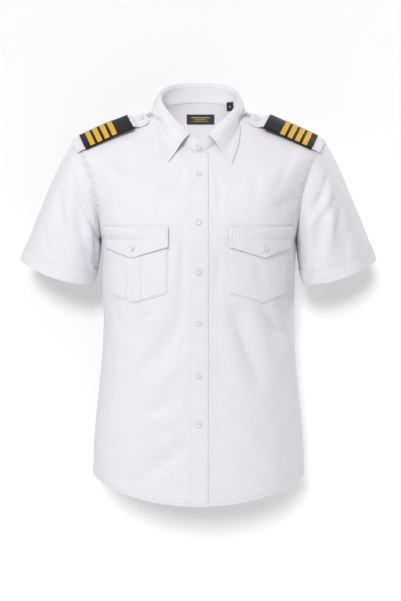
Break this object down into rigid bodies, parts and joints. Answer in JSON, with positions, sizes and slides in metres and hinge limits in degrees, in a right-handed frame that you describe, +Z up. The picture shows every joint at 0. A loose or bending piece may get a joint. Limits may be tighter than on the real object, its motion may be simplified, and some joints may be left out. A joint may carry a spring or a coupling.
{
  "type": "pilot shirt",
  "caption": "Short-sleeved button-front uniform shirt with pointed collar, two flap pockets, shoulder straps and striped rank slides",
  "frame": {"origin": "middle of the neck, level with the two points where the shoulder seams meet the collar, where a wearer's shoulders hold the shirt", "axes": "+Z up, -Y out of the front, +X towards the wearer's left sleeve, which is at the viewer's right"},
  "size_m": [0.663, 0.2593, 0.7738],
  "materials": {
    "white_poplin": "plain-woven cotton blend, matt with a faint sheen",
    "black_cloth": "matt felted twill",
    "gold_braid": "woven metallic braid",
    "white_button": "glossy white polyester",
    "label_cloth": "dense satin-woven label"
  },
  "bodies": {
    "root": {"front_left": "white_poplin", "front_right": "white_poplin", "placket": "white_poplin", "back": "white_poplin", "yoke": "white_poplin", "sleeve_left": "white_poplin", "sleeve_right": "white_poplin", "collar_stand": "white_poplin", "collar_leaf": "white_poplin", "pocket_left": "white_poplin", "pocket_pleat_left": "white_poplin", "pocket_flap_left": "white_poplin", "pocket_right": "white_poplin", "pocket_pleat_right": "white_poplin", "pocket_flap_right": "white_poplin", "shoulder_strap_left": "white_poplin", "shoulder_strap_right": "white_poplin", "rank_slide_left": "black_cloth", "rank_slide_right": "black_cloth", "rank_bar_left_1": "gold_braid", "rank_bar_left_2": "gold_braid", "rank_bar_left_3": "gold_braid", "rank_bar_left_4": "gold_braid", "rank_bar_right_1": "gold_braid", "rank_bar_right_2": "gold_braid", "rank_bar_right_3": "gold_braid", "rank_bar_right_4": "gold_braid", "front_button_1": "white_button", "front_button_2": "white_button", "front_button_3": "white_button", "front_button_4": "white_button", "front_button_5": "white_button", "front_button_6": "white_button", "collar_button": "white_button", "flap_button_left": "white_button", "flap_button_right": "white_button", "strap_button_left": "white_button", "strap_button_right": "white_button", "neck_label": "label_cloth", "size_tag": "label_cloth"}
  },
  "joints": []
}
